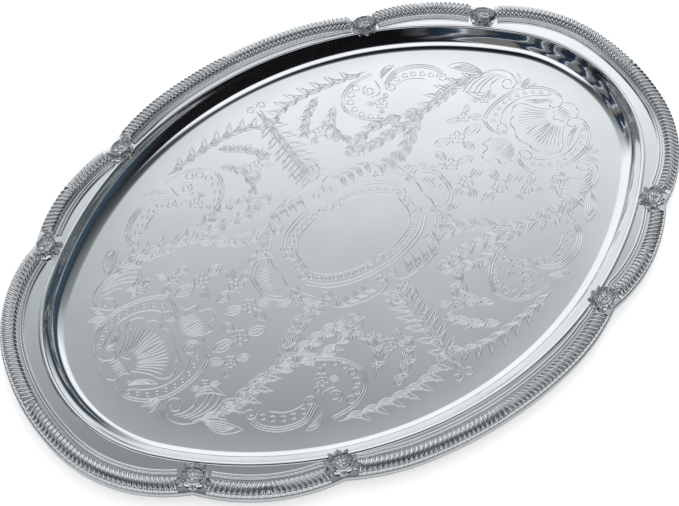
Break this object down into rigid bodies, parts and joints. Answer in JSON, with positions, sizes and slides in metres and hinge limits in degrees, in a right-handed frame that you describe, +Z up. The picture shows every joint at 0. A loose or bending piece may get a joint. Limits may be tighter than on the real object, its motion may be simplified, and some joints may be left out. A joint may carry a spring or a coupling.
{
  "type": "oval serving tray",
  "caption": "Oval chrome-plated serving tray with a flat engraved floor, a raised wall and a scalloped gadroon border with reeds and cartouches.",
  "frame": {"origin": "centre of the flat underside of the floor, which rests on the table", "axes": "+Z up, +X along the tray's length, +Y across it"},
  "size_m": [0.508, 0.352, 0.0198],
  "materials": {
    "pan_chrome": "bright chrome plate with a fine engraved pattern on the floor",
    "gadroon_chrome": "bright chrome plate on cast relief",
    "reed_chrome": "bright chrome plate on drawn moulding",
    "cartouche_chrome": "bright chrome plate on cast relief"
  },
  "bodies": {
    "root": {"pan": "pan_chrome", "gadroon_end_left": "gadroon_chrome", "gadroon_end_right": "gadroon_chrome", "gadroon_side_front": "gadroon_chrome", "gadroon_side_back": "gadroon_chrome", "gadroon_diag_front_left": "gadroon_chrome", "gadroon_diag_front_right": "gadroon_chrome", "gadroon_diag_back_left": "gadroon_chrome", "gadroon_diag_back_right": "gadroon_chrome", "reed_end_left": "reed_chrome", "reed_end_right": "reed_chrome", "reed_side_front": "reed_chrome", "reed_side_back": "reed_chrome", "reed_diag_front_left": "reed_chrome", "reed_diag_front_right": "reed_chrome", "reed_diag_back_left": "reed_chrome", "reed_diag_back_right": "reed_chrome", "cartouche_end_front_left": "cartouche_chrome", "cartouche_end_front_right": "cartouche_chrome", "cartouche_end_back_left": "cartouche_chrome", "cartouche_end_back_right": "cartouche_chrome", "cartouche_side_front_left": "cartouche_chrome", "cartouche_side_front_right": "cartouche_chrome", "cartouche_side_back_left": "cartouche_chrome", "cartouche_side_back_right": "cartouche_chrome"}
  },
  "joints": []
}
